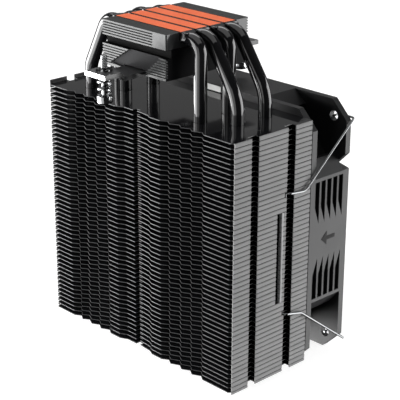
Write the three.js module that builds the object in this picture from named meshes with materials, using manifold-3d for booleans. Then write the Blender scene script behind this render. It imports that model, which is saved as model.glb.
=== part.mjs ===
// CPU tower cooler: four heat pipes in a contact base, one fin stack, one 120 mm fan on wire clips.
// Units are millimetres. The origin is the centre of the contact face, +Z points out of that face,
// X runs along the wide side of the stack and +Y points to the fan.
import * as THREE from 'three';
import { mergeVertices } from 'three/addons/utils/BufferGeometryUtils.js';
import Module from 'manifold-3d';

const wasm = await Module();
wasm.setup();

// ---------------------------------------------------------------- driving dimensions
const GAP = 0.3;

const stack = { width: 120, front: -24.1, back: 23.1, bottom: -150.7, height: 113.4 };
const fins = { pitch: 2.2, perPlate: 3, plateThickness: 1.2, packCount: 9, tabThickness: 0.4, leftRim: 1.7 };
const frontCorner = { cut: 1.6, tabInset: 0.9 };
const grooves = { depth: 2.5, ranges: [[-13.4, -9], [8.3, 13]] };
const frontSlot = { x0: -3, x1: -0.5, depth: 4 };
const tabWindow = { y0: 2.8, y1: 5.6, z0: -116.7, z1: -73.7, depth: 2.6 };

const pipe = { radius: 3, sides: 10, pitch: 8.4, axisZ: -3.1, tipZ: -153, flatWidth: 7.4, flatHeight: 4.6 };
const pipeFlatEnd = 21.6;
const innerLegX = 28.8;
const outerLegX = 42.3;
const innerBend = 6;
const outerBendRight = { shoulderX: 25.7, angle: 55, shoulderRadius: 8, kneeRadius: 20 };
const outerBendLeft = { shoulderX: 30.2, angle: 62.3, shoulderRadius: 7.3, kneeRadius: 9 };

const block = { halfX: 20.5, front: -24.1, back: 24.1, height: 6.7, corner: 0.4 };
const lowerBlock = { bottom: -19.7, ledge: -10.4, ridgeHalf: 21.2 };
const rib = { pitch: 1.15, width: 0.5, depth: 0.9 };
const barChannelHalf = 7.2;

const bar = { halfWidth: 6.5, thickness: 2, middleTop: -18.2, endTop: -16.2, tipY: 45.3 };
const barBend = { middleY: 34.8, endY: 36.5 };
const screw = { y: 40.2, radius: 1.5, tipZ: -9.2, headTop: -26.5, headHeight: 3.2, headRadius: 3.4 };
const spring = { radius: 2.7, wire: 0.6, turns: 2.25, stepsPerTurn: 10, sides: 6 };
const retainer = { inner: 1.8, outer: 3.5, thickness: 0.8 };
const baseScrew = { x: 14, y: 19, radius: 1.2, headRadius: 2.4, headHeight: 1.6, top: -1.6 };

const fan = { size: 120, depth: 25, near: 23.5, centreZ: -94.2, corner: 8.5, flange: 3 };
const duct = { inner: 57.5, outer: 59.3, sides: 64 };
const holes = { spacing: 105, radius: 2.35, sides: 12 };
const panelEnd = 29.2;
const slot = { count: 5, first: 2.98, pitch: 3.85, width: 2.85, depth: 1.5 };
const slotEnds = { outer: 27.7, taperStart: 16.3, tip: 8.1 };
const hubBase = { radius: 21, bottom: 0.8, thickness: 3 };
const strut = { halfWidth: 2.6, height: 4.2 };
const sleeveTube = { outer: 4.6, inner: 3.6, top: 15.6 };
const rotor = { hubRadius: 20.5, tipRadius: 56.2, bladeCount: 9, open: 5.6, face: 23.4, wall: 1.6 };
const hubEdge = 1.5;
const shaftBoss = { outer: 3.6, inner: 1.8, bottom: 16.2 };
const bladeShape = { arc: 31, widening: 0.12, sweepBack: 14, rise: 12.5, flattening: 0.25, camber: 1.6 };
const bladeWall = { root: 2.2, taper: 1.1, sunk: 0.6, lift: 0.4 };
const poles = { reach: 13.2, half: 3.4, bottom: 7.4, top: 14.2 };
const poleShoes = { inner: 12.6, outer: 13.9, half: 4.9, bottom: 8.6, top: 13 };
const core = { outer: 6.6, inner: 4.9, bottom: 6.6, top: 15 };
const label = { halfWidth: 5, thickness: 0.4 };

const wire = { radius: 0.5, sides: 6, grooveX: 58.35, grooveY: 9.15, sideX: 60.85, bendY: 18.9 };
const clipHinge = { x: 52.5, y: 46.9 };
const clipBend = { hook: 3.4, corner: 1.2, kink: 4, groove: 1 };
const clipTop = { corner: 0, bend: 26.4, groove: 27.6 };
const clipLow = { corner: 1.8, bend: 31, groove: 28.6 };

// ---------------------------------------------------------------- helpers
const radians = THREE.MathUtils.degToRad;

function solid(geometry) {
  const bare = geometry.clone();
  bare.deleteAttribute('normal');
  bare.deleteAttribute('uv');
  const merged = mergeVertices(bare, 1e-4);
  const vertProperties = new Float32Array(merged.attributes.position.array);
  const triVerts = new Uint32Array(merged.index.array);
  return new wasm.Manifold(new wasm.Mesh({ numProp: 3, vertProperties, triVerts }));
}

function geometryOf(manifold) {
  const mesh = manifold.getMesh();
  const indexed = new THREE.BufferGeometry();
  indexed.setAttribute('position', new THREE.BufferAttribute(new Float32Array(mesh.vertProperties), 3));
  indexed.setIndex(new THREE.BufferAttribute(new Uint32Array(mesh.triVerts), 1));
  const flat = indexed.toNonIndexed();
  flat.computeVertexNormals();
  return flat;
}

function join(solids) {
  return solids.reduce((whole, next) => whole.add(next));
}

function cut(body, tools) {
  return tools.reduce((whole, tool) => whole.subtract(tool), body);
}

function box(x0, x1, y0, y1, z0, z1) {
  const geometry = new THREE.BoxGeometry(x1 - x0, y1 - y0, z1 - z0);
  geometry.translate((x0 + x1) / 2, (y0 + y1) / 2, (z0 + z1) / 2);
  return solid(geometry);
}

function shapeFrom(points) {
  return new THREE.Shape(points.map(([x, y]) => new THREE.Vector2(x, y)));
}

function ringPoints(radius, sides, cx = 0, cy = 0) {
  const points = [];
  for (let i = 0; i < sides; i += 1) {
    const angle = (2 * Math.PI * i) / sides;
    points.push([cx + radius * Math.cos(angle), cy + radius * Math.sin(angle)]);
  }
  return points;
}

// A prism between two heights along Z.
function prism(shape, z0, z1) {
  const geometry = new THREE.ExtrudeGeometry(shape, { depth: z1 - z0, bevelEnabled: false });
  geometry.translate(0, 0, z0);
  return solid(geometry);
}

function disc(radius, sides, z0, z1, cx = 0, cy = 0) {
  return prism(shapeFrom(ringPoints(radius, sides, cx, cy)), z0, z1);
}

function tube(outer, inner, sides, z0, z1) {
  const shape = shapeFrom(ringPoints(outer, sides));
  shape.holes.push(shapeFrom(ringPoints(inner, sides)));
  return prism(shape, z0, z1);
}

// A prism along X of an outline drawn in (y, z).
function prismAlongX(points, x0, x1) {
  const geometry = new THREE.ExtrudeGeometry(shapeFrom(points), { depth: x1 - x0, bevelEnabled: false });
  geometry.rotateX(Math.PI / 2);
  geometry.rotateZ(Math.PI / 2);
  geometry.translate(x0, 0, 0);
  return solid(geometry);
}

// A route through exact stations, so that a sweep bends only where the stations say.
class Route extends THREE.Curve {
  constructor(stations) {
    super();
    this.stations = stations;
  }

  getUtoTmapping(u) {
    return u;
  }

  getPoint(t, target = new THREE.Vector3()) {
    const last = this.stations.length - 1;
    const place = Math.min(Math.max(t, 0), 1) * last;
    const index = Math.min(Math.floor(place), last - 1);
    return target.copy(this.stations[index]).lerp(this.stations[index + 1], place - index);
  }

  getTangent(t, target = new THREE.Vector3()) {
    const last = this.stations.length - 1;
    const index = Math.round(t * last);
    const before = this.stations[Math.max(index - 1, 0)];
    const here = this.stations[index];
    const after = this.stations[Math.min(index + 1, last)];
    const into = here.clone().sub(before).normalize();
    const out = after.clone().sub(here).normalize();
    return target.copy(into).add(out).normalize();
  }
}

// Stations along straight runs whose corners are rounded: corners are [x, y, z, radius].
function roundedStations(corners, stepAngle) {
  const points = corners.map(([x, y, z]) => new THREE.Vector3(x, y, z));
  const stations = [points[0]];
  for (let i = 1; i < points.length - 1; i += 1) {
    const into = points[i].clone().sub(points[i - 1]).normalize();
    const out = points[i + 1].clone().sub(points[i]).normalize();
    const turn = into.angleTo(out);
    const radius = corners[i][3];
    const start = points[i].clone().addScaledVector(into, -radius * Math.tan(turn / 2));
    const side = out.clone().addScaledVector(into, -out.dot(into)).normalize();
    const centre = start.clone().addScaledVector(side, radius);
    const steps = Math.max(2, Math.round(turn / radians(stepAngle)));
    for (let s = 0; s <= steps; s += 1) {
      const angle = (turn * s) / steps;
      const point = centre.clone();
      point.addScaledVector(side, -radius * Math.cos(angle));
      point.addScaledVector(into, radius * Math.sin(angle));
      stations.push(point);
    }
  }
  stations.push(points[points.length - 1]);
  return stations;
}

function sweep(stations, radius, sides) {
  const section = shapeFrom(ringPoints(radius, sides));
  const extrudePath = new Route(stations);
  return new THREE.ExtrudeGeometry(section, { steps: stations.length - 1, extrudePath, bevelEnabled: false });
}

const assembly = new THREE.Group();
assembly.name = 'cpu_tower_cooler';

function addMesh(parent, name, shape, look) {
  const geometry = shape.isBufferGeometry ? shape : geometryOf(shape);
  const mesh = new THREE.Mesh(geometry, new THREE.MeshStandardMaterial(look));
  mesh.name = name;
  parent.add(mesh);
  return mesh;
}

const looks = {
  finCoating: { color: 0x1b1b1d, roughness: 0.35, metalness: 0.6 },
  blackNickel: { color: 0x0b0b0d, roughness: 0.12, metalness: 0.9 },
  blackBlock: { color: 0x1d1e21, roughness: 0.3, metalness: 0.7 },
  steel: { color: 0xd8dadd, roughness: 0.25, metalness: 1 },
  fanPlastic: { color: 0x17181a, roughness: 0.55, metalness: 0 },
  bladePlastic: { color: 0x101113, roughness: 0.45, metalness: 0 },
  ferrite: { color: 0x3a3a3c, roughness: 0.7, metalness: 0.2 },
  copperWinding: { color: 0xb4623a, roughness: 0.45, metalness: 0.8 },
  board: { color: 0x1f5c3a, roughness: 0.5, metalness: 0 },
  brass: { color: 0xb08d4a, roughness: 0.35, metalness: 1 },
  cap: { color: 0x2a2b2e, roughness: 0.5, metalness: 0 },
};

// ---------------------------------------------------------------- heat pipes
// Seen from the base, odd pipes have their inner leg at +X and even pipes at -X,
// so the holes of neighbouring pipes are staggered in the fins.
const pipeRows = [-1.5, -0.5, 0.5, 1.5].map((row) => row * pipe.pitch);

function legPositions(index) {
  const right = index % 2 === 0 ? innerLegX : outerLegX;
  const left = index % 2 === 0 ? -outerLegX : -innerLegX;
  return [right, left];
}

function pipeSection(clearance) {
  const half = pipe.flatWidth / 2 + clearance;
  const bottom = -pipe.flatHeight - clearance;
  const bevel = 1.5;
  return [
    [-half, 0],
    [-half, bottom + bevel],
    [-half + bevel, bottom],
    [half - bevel, bottom],
    [half, bottom + bevel],
    [half, 0],
  ];
}

function legTube(legX, y) {
  const side = Math.sign(legX);
  const start = [side * (pipeFlatEnd - 0.6), y, pipe.axisZ];
  const corners = [start];
  if (Math.abs(legX) === innerLegX) {
    corners.push([legX, y, pipe.axisZ, innerBend]);
  } else {
    const { shoulderX, angle, shoulderRadius, kneeRadius } = side > 0 ? outerBendRight : outerBendLeft;
    const drop = (outerLegX - shoulderX) * Math.tan(radians(angle));
    corners.push([side * shoulderX, y, pipe.axisZ, shoulderRadius]);
    corners.push([legX, y, pipe.axisZ - drop, kneeRadius]);
  }
  const tipStart = pipe.tipZ + 1.8;
  corners.push([legX, y, tipStart]);
  const tubeSolid = solid(sweep(roundedStations(corners, 18), pipe.radius, pipe.sides));
  const tip = new THREE.CylinderGeometry(pipe.radius * 0.96, 0.8, 2, pipe.sides);
  tip.rotateX(Math.PI / 2);
  tip.translate(legX, y, tipStart - 0.8);
  return tubeSolid.add(solid(tip));
}

function heatPipe(index) {
  const y = pipeRows[index];
  const section = pipeSection(0).map(([u, z]) => [u + y, z]);
  const flat = prismAlongX(section, -pipeFlatEnd, pipeFlatEnd);
  const [right, left] = legPositions(index);
  return join([flat, legTube(right, y), legTube(left, y)]);
}

pipeRows.forEach((_, index) => {
  addMesh(assembly, `heat_pipe_${index + 1}`, heatPipe(index), looks.blackNickel);
});

// ---------------------------------------------------------------- contact base
function chamferedRectangle(halfX, y0, y1, corner) {
  return shapeFrom([
    [-halfX + corner, y0],
    [halfX - corner, y0],
    [halfX, y0 + corner],
    [halfX, y1 - corner],
    [halfX - corner, y1],
    [-halfX + corner, y1],
    [-halfX, y1 - corner],
    [-halfX, y0 + corner],
  ]);
}

// Shallow horizontal grooves on the -Y and +Y faces between two heights.
function ribGrooves(x0, x1, zLow, zHigh) {
  const tools = [];
  for (let z = zLow; z < zHigh; z += rib.pitch) {
    tools.push(box(x0, x1, block.front - 1, block.front + rib.depth, z, z + rib.width));
    tools.push(box(-x1, -x0, block.back - rib.depth, block.back + 1, z, z + rib.width));
  }
  return tools;
}

const baseScrewPlaces = [
  [baseScrew.x, -baseScrew.y],
  [-baseScrew.x, baseScrew.y],
];

function contactBlock() {
  const outline = chamferedRectangle(block.halfX, block.front, block.back, block.corner);
  const body = prism(outline, -block.height, 0);
  const channels = pipeRows.map((y) => {
    const section = pipeSection(GAP).map(([u, z]) => [u + y, z === 0 ? 1 : z]);
    return prismAlongX(section, -block.halfX - 1, block.halfX + 1);
  });
  const screwHoles = baseScrewPlaces.map(([x, y]) => {
    return disc(baseScrew.radius + GAP, 10, -block.height - 1, baseScrew.top + GAP, x, y);
  });
  return cut(body, [...channels, ...screwHoles, ...ribGrooves(-block.halfX - 1, 12, -5.9, -1.2)]);
}

function slottedBlock() {
  const top = -block.height - GAP;
  const outline = chamferedRectangle(block.halfX, block.front, block.back, block.corner);
  const body = prism(outline, lowerBlock.bottom, top);
  const above = top + 1;
  const wide = block.halfX + 1;
  const { bottom, ledge, ridgeHalf } = lowerBlock;
  const tools = [
    box(-barChannelHalf, barChannelHalf, block.front - 1, block.back + 1, bottom - 1, bar.middleTop + GAP),
    box(-wide, wide, block.front - 1, -ridgeHalf, ledge, above),
    box(-wide, wide, ridgeHalf, block.back + 1, ledge, above),
    frontRelief(),
    turned(frontRelief(), 180),
  ];
  baseScrewPlaces.forEach(([x, y]) => {
    const headSeat = lowerBlock.bottom + baseScrew.headHeight + GAP + 0.4;
    tools.push(disc(baseScrew.radius + GAP, 10, lowerBlock.bottom - 1, above, x, y));
    tools.push(disc(baseScrew.headRadius + GAP, 12, lowerBlock.bottom - 1, headSeat, x, y));
  });
  return cut(body, [...tools, ...ribGrooves(-wide, wide, -18.6, -11.6)]);
}

// A smooth slanted relief in the ribbed front, above the bar's channel.
function frontRelief() {
  const outline = [[-2.5, -10], [15.8, -10], [15.8, -11.3], [7.3, -18.2], [7.3, -19.5], [-15.7, -18.4]];
  const geometry = new THREE.ExtrudeGeometry(shapeFrom(outline), { depth: 3, bevelEnabled: false });
  geometry.rotateX(Math.PI / 2);
  geometry.translate(0, block.front + 1.2, 0);
  return solid(geometry);
}

function blockScrew([x, y]) {
  const headBottom = lowerBlock.bottom + 0.4;
  const head = disc(baseScrew.headRadius, 12, headBottom, headBottom + baseScrew.headHeight, x, y);
  const shank = disc(baseScrew.radius, 10, headBottom + 0.8, baseScrew.top, x, y);
  const hexSocket = disc(1.1, 6, headBottom - 1, headBottom + 1, x, y);
  return head.add(shank).subtract(hexSocket);
}

addMesh(assembly, 'base_block', contactBlock(), looks.blackBlock);
addMesh(assembly, 'base_heatsink', slottedBlock(), looks.blackBlock);
baseScrewPlaces.forEach((place, index) => {
  addMesh(assembly, `base_screw_${index + 1}`, blockScrew(place), looks.steel);
});

// ---------------------------------------------------------------- fin stack
// Each plate stands for three neighbouring fins. A pack is two plates joined by their end tabs.
function plateShape() {
  const half = stack.width / 2;
  const inset = half - grooves.depth;
  const rightSide = [];
  const leftSide = [];
  grooves.ranges.forEach(([y0, y1]) => {
    rightSide.push([half, y0], [inset, y0], [inset, y1], [half, y1]);
    leftSide.push([-half, y0], [-inset, y0], [-inset, y1], [-half, y1]);
  });
  const { cut: corner } = frontCorner;
  const shape = shapeFrom([
    [-half, stack.front + corner],
    [-half + corner, stack.front],
    [frontSlot.x0, stack.front],
    [frontSlot.x0, stack.front + frontSlot.depth],
    [frontSlot.x1, stack.front + frontSlot.depth],
    [frontSlot.x1, stack.front],
    [half - corner, stack.front],
    [half, stack.front + corner],
    ...rightSide,
    [half, stack.back],
    [-half, stack.back],
    ...leftSide.reverse(),
  ]);
  const holeSides = 6;
  const holeRadius = (pipe.radius + GAP) / Math.cos(Math.PI / holeSides) + 0.05;
  pipeRows.forEach((y, index) => {
    legPositions(index).forEach((x) => {
      shape.holes.push(shapeFrom(ringPoints(holeRadius, holeSides, x, y)));
    });
  });
  return shape;
}

const tabRanges = [
  [stack.front + frontCorner.tabInset, grooves.ranges[0][0]],
  [grooves.ranges[0][1], grooves.ranges[1][0]],
  [grooves.ranges[1][1], stack.back],
];

function finPack(index) {
  const half = stack.width / 2;
  const plateStep = fins.pitch * fins.perPlate;
  const packStep = 2 * plateStep;
  const low = stack.bottom + index * packStep;
  const isTop = index === fins.packCount - 1;
  const high = isTop ? stack.bottom + stack.height : low + packStep - GAP;
  const pieces = [];
  [low, low + plateStep].forEach((z) => {
    pieces.push(prism(plateShape(), z, z + fins.plateThickness));
  });
  tabRanges.forEach(([y0, y1]) => {
    pieces.push(box(half - fins.tabThickness, half, y0, y1, low, high));
    pieces.push(box(-half, -half + fins.tabThickness, y0, y1, low, isTop ? high + fins.leftRim : high));
  });
  const { y0, y1, z0, z1, depth } = tabWindow;
  const windows = [
    box(half - depth, half + 1, y0, y1, z0, z1),
    box(-half - 1, -half + depth, y0, y1, z0, z1),
  ];
  return cut(join(pieces), windows);
}

for (let index = 0; index < fins.packCount; index += 1) {
  addMesh(assembly, `fin_pack_${index + 1}`, finPack(index), looks.finCoating);
}

// ---------------------------------------------------------------- mounting bar and spring screws
function mountingBar() {
  const { halfWidth, thickness, middleTop, endTop, tipY } = bar;
  const upper = [
    [-tipY, endTop],
    [-barBend.endY, endTop],
    [-barBend.middleY, middleTop],
    [barBend.middleY, middleTop],
    [barBend.endY, endTop],
    [tipY, endTop],
  ];
  const lower = upper.map(([y, z]) => [y, z - thickness]).reverse();
  const strip = prismAlongX([...lower, ...upper], -halfWidth, halfWidth);
  const screwHoles = [-screw.y, screw.y].map((y) => {
    return disc(screw.radius + 0.5, 12, endTop - thickness - 1, endTop + 1, 0, y);
  });
  return cut(strip, screwHoles);
}

function springScrew() {
  const headBottom = screw.headTop - screw.headHeight;
  const head = disc(screw.headRadius, 20, headBottom, screw.headTop);
  const shank = disc(screw.radius, 12, screw.headTop - 1, screw.tipZ - 0.8);
  const point = new THREE.CylinderGeometry(screw.radius * 0.6, screw.radius, 1, 12);
  point.rotateX(Math.PI / 2);
  point.translate(0, 0, screw.tipZ - 0.5);
  const driveSlot = [box(-2, 2, -0.5, 0.5, headBottom - 1, headBottom + 1.4)];
  driveSlot.push(box(-0.5, 0.5, -2, 2, headBottom - 1, headBottom + 1.4));
  return cut(join([head, shank, solid(point)]), driveSlot);
}

function coilSpring() {
  const top = bar.endTop - bar.thickness - GAP - spring.wire;
  const bottom = screw.headTop + GAP + spring.wire;
  const stations = [];
  const steps = Math.round(spring.turns * spring.stepsPerTurn);
  for (let i = 0; i <= steps; i += 1) {
    const angle = (2 * Math.PI * spring.turns * i) / steps;
    const x = spring.radius * Math.cos(angle);
    const y = spring.radius * Math.sin(angle);
    stations.push(new THREE.Vector3(x, y, bottom + ((top - bottom) * i) / steps));
  }
  return sweep(stations, spring.wire, spring.sides);
}

addMesh(assembly, 'mounting_bar', mountingBar(), looks.steel);
[['near', -1], ['far', 1]].forEach(([label, side]) => {
  const station = new THREE.Group();
  station.position.set(0, side * screw.y, 0);
  assembly.add(station);
  addMesh(station, `mounting_screw_${label}`, springScrew(), looks.steel);
  addMesh(station, `screw_spring_${label}`, coilSpring(), looks.steel);
  const clipBottom = bar.endTop + GAP;
  const clipShape = tube(retainer.outer, retainer.inner, 12, clipBottom, clipBottom + retainer.thickness);
  addMesh(station, `screw_retainer_${label}`, clipShape, looks.steel);
});

// ---------------------------------------------------------------- fan
// Fan parts are drawn with the axis along their own Z: 0 at the fin side, `depth` at the open side.
// Turning the group puts that axis along +Y, and the fan's own +Y then points down.
const fanGroup = new THREE.Group();
fanGroup.position.set(0, fan.near, fan.centreZ);
fanGroup.rotation.x = -Math.PI / 2;
assembly.add(fanGroup);

// One open pocket between the flanges, outside the duct, at the corner of +X and +Y.
function cornerPocket() {
  const reach = fan.size / 2 + 1;
  const bevelX = 54.5;
  const bevelY = 36;
  const arcStart = radians(35);
  const points = [
    [reach, panelEnd - 1.2],
    [reach, reach],
    [panelEnd - 1.2, reach],
    [bevelY, bevelX],
  ];
  const steps = 3;
  for (let i = 0; i <= steps; i += 1) {
    const angle = Math.PI / 2 - arcStart + ((2 * arcStart - Math.PI / 2) * i) / steps;
    points.push([duct.outer * Math.cos(angle), duct.outer * Math.sin(angle)]);
  }
  points.push([bevelX, bevelY]);
  return shapeFrom(points);
}

function turned(manifold, degrees) {
  return solid(geometryOf(manifold).rotateZ(radians(degrees)));
}

// A side slot of the +X panel: square at its outer end, cut to a slanted tip at its inner end.
function sideSlot(order, end) {
  const z0 = slot.first + order * slot.pitch;
  const z1 = z0 + slot.width;
  const outline = [
    [end * slotEnds.outer, z0],
    [end * slotEnds.outer, z1],
    [end * slotEnds.tip, z1],
    [end * slotEnds.taperStart, z0],
  ];
  return prismAlongX(end > 0 ? outline : outline.reverse(), fan.size / 2 - slot.depth, fan.size / 2 + 1);
}

function fanFrame() {
  const half = fan.size / 2;
  const outer = chamferedRectangle(half, -half, half, fan.corner);
  const body = prism(outer, 0, fan.depth);
  const tools = [disc(duct.inner, duct.sides, -1, fan.depth + 1)];
  const pocket = prism(cornerPocket(), fan.flange, fan.depth - fan.flange);
  [0, 90, 180, 270].forEach((degrees) => tools.push(turned(pocket, degrees)));
  const reach = holes.spacing / 2;
  [[reach, reach], [reach, -reach], [-reach, reach], [-reach, -reach]].forEach(([x, y]) => {
    tools.push(disc(holes.radius, holes.sides, -1, fan.depth + 1, x, y));
  });
  [0, 180].forEach((degrees) => {
    for (let order = 0; order < slot.count; order += 1) {
      tools.push(turned(sideSlot(order, 1), degrees), turned(sideSlot(order, -1), degrees));
    }
  });
  const notch = shapeFrom([[half + 1, -panelEnd], [half + 1, -37.6], [half - 5.8, -panelEnd - 1.5]]);
  tools.push(prism(notch, fan.depth - fan.flange - 1, fan.depth + 1));

  const shell = cut(body, tools);
  const { radius, bottom, thickness } = hubBase;
  const motorSeat = disc(radius, 32, bottom, bottom + thickness);
  const struts = [45, 135, 225, 315].map((degrees) => {
    const { halfWidth, height } = strut;
    const beam = box(radius - 2, duct.inner + 0.8, -halfWidth, halfWidth, bottom, bottom + height);
    return turned(beam, degrees);
  });
  const boreTube = disc(sleeveTube.outer, 20, bottom, sleeveTube.top);
  const seat = join([shell, motorSeat, ...struts, boreTube]);
  return seat.subtract(disc(sleeveTube.inner, 20, bottom - 1, sleeveTube.top + 1));
}

// A blade is a flat box bent onto a helix: u runs around, v runs outward, w is the thickness.
function blade(order) {
  const { widening, rise, flattening, camber } = bladeShape;
  const arc = radians(bladeShape.arc);
  const sweepBack = radians(bladeShape.sweepBack);
  const span = rotor.tipRadius - rotor.hubRadius + bladeWall.sunk;
  const geometry = new THREE.BoxGeometry(1, 1, 1, 4, 3, 1);
  const position = geometry.attributes.position;
  const midHeight = (rotor.open + rotor.face) / 2 + bladeWall.lift;
  const start = (2 * Math.PI * order) / rotor.bladeCount;
  for (let i = 0; i < position.count; i += 1) {
    const u = -position.getX(i);
    const v = position.getY(i) + 0.5;
    const w = position.getZ(i);
    const radius = rotor.tipRadius - span * (1 - v);
    const angle = start + u * arc * (1 + widening * v) - v * v * sweepBack;
    const curve = camber * (1 - 4 * u * u);
    const wall = w * (bladeWall.root - bladeWall.taper * v);
    const height = midHeight + u * rise * (1 - flattening * v) + curve + wall;
    position.setXYZ(i, radius * Math.cos(angle), radius * Math.sin(angle), height);
  }
  return solid(geometry);
}

function fanRotor() {
  const { hubRadius, open, face, wall } = rotor;
  const profile = [
    [0, face],
    [hubRadius - hubEdge, face],
    [hubRadius, face - hubEdge],
    [hubRadius, open],
    [hubRadius - wall, open],
    [hubRadius - wall, face - wall],
    [shaftBoss.outer, face - wall],
    [shaftBoss.outer, shaftBoss.bottom],
    [shaftBoss.inner, shaftBoss.bottom],
    [shaftBoss.inner, face - wall],
    [0, face - wall],
  ].map(([r, z]) => new THREE.Vector2(r, z)).reverse();
  const hub = new THREE.LatheGeometry(profile, 32);
  hub.rotateX(Math.PI / 2);
  const blades = [];
  for (let order = 0; order < rotor.bladeCount; order += 1) {
    blades.push(blade(order));
  }
  return join([solid(hub), ...blades]);
}

function statorCore() {
  const arms = [];
  [0, 90, 180, 270].forEach((degrees) => {
    const pole = box(core.outer - 1.2, poles.reach, -poles.half, poles.half, poles.bottom, poles.top);
    const { inner, outer, half, bottom, top } = poleShoes;
    arms.push(turned(pole, degrees), turned(box(inner, outer, -half, half, bottom, top), degrees));
  });
  return join([tube(core.outer, core.inner, 20, core.bottom, core.top), ...arms]);
}

addMesh(fanGroup, 'fan_frame', fanFrame(), looks.fanPlastic);
addMesh(fanGroup, 'fan_rotor', fanRotor(), looks.bladePlastic);
addMesh(fanGroup, 'rotor_yoke', tube(18.5, 17.8, 24, 6, 21.2), looks.steel);
addMesh(fanGroup, 'rotor_magnet', tube(17.3, 15.2, 24, 6.4, 17.5), looks.ferrite);
addMesh(fanGroup, 'rotor_shaft', disc(1.5, 12, 1.5, 21.4), looks.steel);
addMesh(fanGroup, 'shaft_clip', tube(2.9, 1.8, 12, 2, 2.5), looks.cap);
addMesh(fanGroup, 'bearing_sleeve', tube(3.3, 1.8, 12, 3, 15), looks.brass);
addMesh(fanGroup, 'motor_stator', statorCore(), looks.copperWinding);
addMesh(fanGroup, 'motor_board', tube(16, 4.9, 16, 4.1, 5.2), looks.board);
addMesh(fanGroup, 'bearing_cap', disc(17, 24, 0.1, 0.5), looks.cap);

const labelTop = fan.centreZ + fan.size / 2 - 0.2;
const labelBottom = stack.bottom + stack.height + label.thickness;
const labelBack = stack.back - 0.3;
const labelSides = [-label.halfWidth, label.halfWidth, labelBack, labelBack + label.thickness];
const labelShape = box(...labelSides, labelBottom, labelTop);
addMesh(assembly, 'fan_label', labelShape, { color: 0xf2f2f0, roughness: 0.5, metalness: 0 });

// ---------------------------------------------------------------- wire clips
// Each clip is one bent wire. Its ends hook into the fan's corner holes from the open side,
// and its straight middle lies in the groove at the end of the fin stack.
function wireClip(side) {
  const holeReach = holes.spacing / 2;
  const outside = fan.near + fan.depth;
  const loopY = outside + wire.radius + 0.5;
  const run = (end, rises) => {
    const atHole = fan.centreZ + end * holeReach;
    const atBend = fan.centreZ + end * rises.bend;
    const atGroove = fan.centreZ + end * rises.groove;
    return [
      [side * clipHinge.x, outside - clipBend.hook, atHole, 0],
      [side * clipHinge.x, loopY, atHole, clipBend.corner],
      [side * wire.sideX, loopY, atHole + end * rises.corner, clipBend.corner],
      [side * wire.sideX, wire.bendY, atBend, clipBend.kink],
      [side * wire.sideX, wire.grooveY, atGroove, clipBend.groove],
      [side * wire.grooveX, wire.grooveY, atGroove, clipBend.groove],
    ];
  };
  const upper = run(1, clipTop);
  const lower = run(-1, clipLow).reverse();
  return sweep(roundedStations([...upper, ...lower], 30), wire.radius, wire.sides);
}

addMesh(assembly, 'wire_clip_right', wireClip(1), looks.steel);
addMesh(assembly, 'wire_clip_left', wireClip(-1), looks.steel);

export default assembly;
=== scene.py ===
"""Looks of the CPU tower cooler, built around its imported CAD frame.

Blender works in metres. The tables and the points given to the mesh helpers are in millimetres.
"""

import math

import bmesh
import bpy
import numpy as np
from mathutils import Matrix, Vector
from mathutils.geometry import tessellate_polygon


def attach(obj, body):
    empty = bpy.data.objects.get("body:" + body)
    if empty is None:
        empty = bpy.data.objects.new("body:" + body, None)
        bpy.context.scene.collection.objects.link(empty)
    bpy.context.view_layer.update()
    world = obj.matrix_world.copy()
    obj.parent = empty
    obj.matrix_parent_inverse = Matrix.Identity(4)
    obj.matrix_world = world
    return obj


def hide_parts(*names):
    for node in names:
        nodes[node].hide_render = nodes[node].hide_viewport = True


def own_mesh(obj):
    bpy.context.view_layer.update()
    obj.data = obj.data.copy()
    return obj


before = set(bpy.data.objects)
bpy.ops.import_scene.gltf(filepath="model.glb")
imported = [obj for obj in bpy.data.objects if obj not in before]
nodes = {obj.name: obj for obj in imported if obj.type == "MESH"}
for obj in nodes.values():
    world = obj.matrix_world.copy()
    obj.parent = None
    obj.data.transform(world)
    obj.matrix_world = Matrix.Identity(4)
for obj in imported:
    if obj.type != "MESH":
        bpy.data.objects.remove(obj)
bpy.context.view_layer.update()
MM = 0.001
COOLER = "cooler"
# How close two points are welded, in metres, and how flat two faces are joined, in degrees.
WELD_DISTANCE = 1e-6
FLAT_ANGLE = 0.6


# ---------------------------------------------------------------- mesh helpers
def piece(name, verts, faces, looks, body, replaces=(), smooth=35, face_looks=None):
    """A mesh from millimetre points, riding on a body. face_looks gives each face's place in looks."""
    mesh = bpy.data.meshes.new(name)
    mesh.from_pydata([tuple(c * MM for c in v) for v in verts], [], [tuple(f) for f in faces])
    mesh.validate()
    obj = bpy.data.objects.new(name, mesh)
    bpy.context.scene.collection.objects.link(obj)
    for look in looks:
        mesh.materials.append(look)
    if face_looks is not None:
        mesh.polygons.foreach_set("material_index", np.array(face_looks, np.int32))
    finish_shading(obj, smooth)
    settle(obj, body, replaces)
    return obj


def finish_shading(obj, smooth):
    mesh = obj.data
    work = bmesh.new()
    work.from_mesh(mesh)
    bmesh.ops.recalc_face_normals(work, faces=work.faces)
    work.to_mesh(mesh)
    work.free()
    mesh.shade_smooth()
    mesh.set_sharp_from_angle(angle=math.radians(smooth))


def settle(obj, body, replaces=()):
    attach(obj, body)
    if replaces:
        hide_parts(*replaces)


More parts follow.
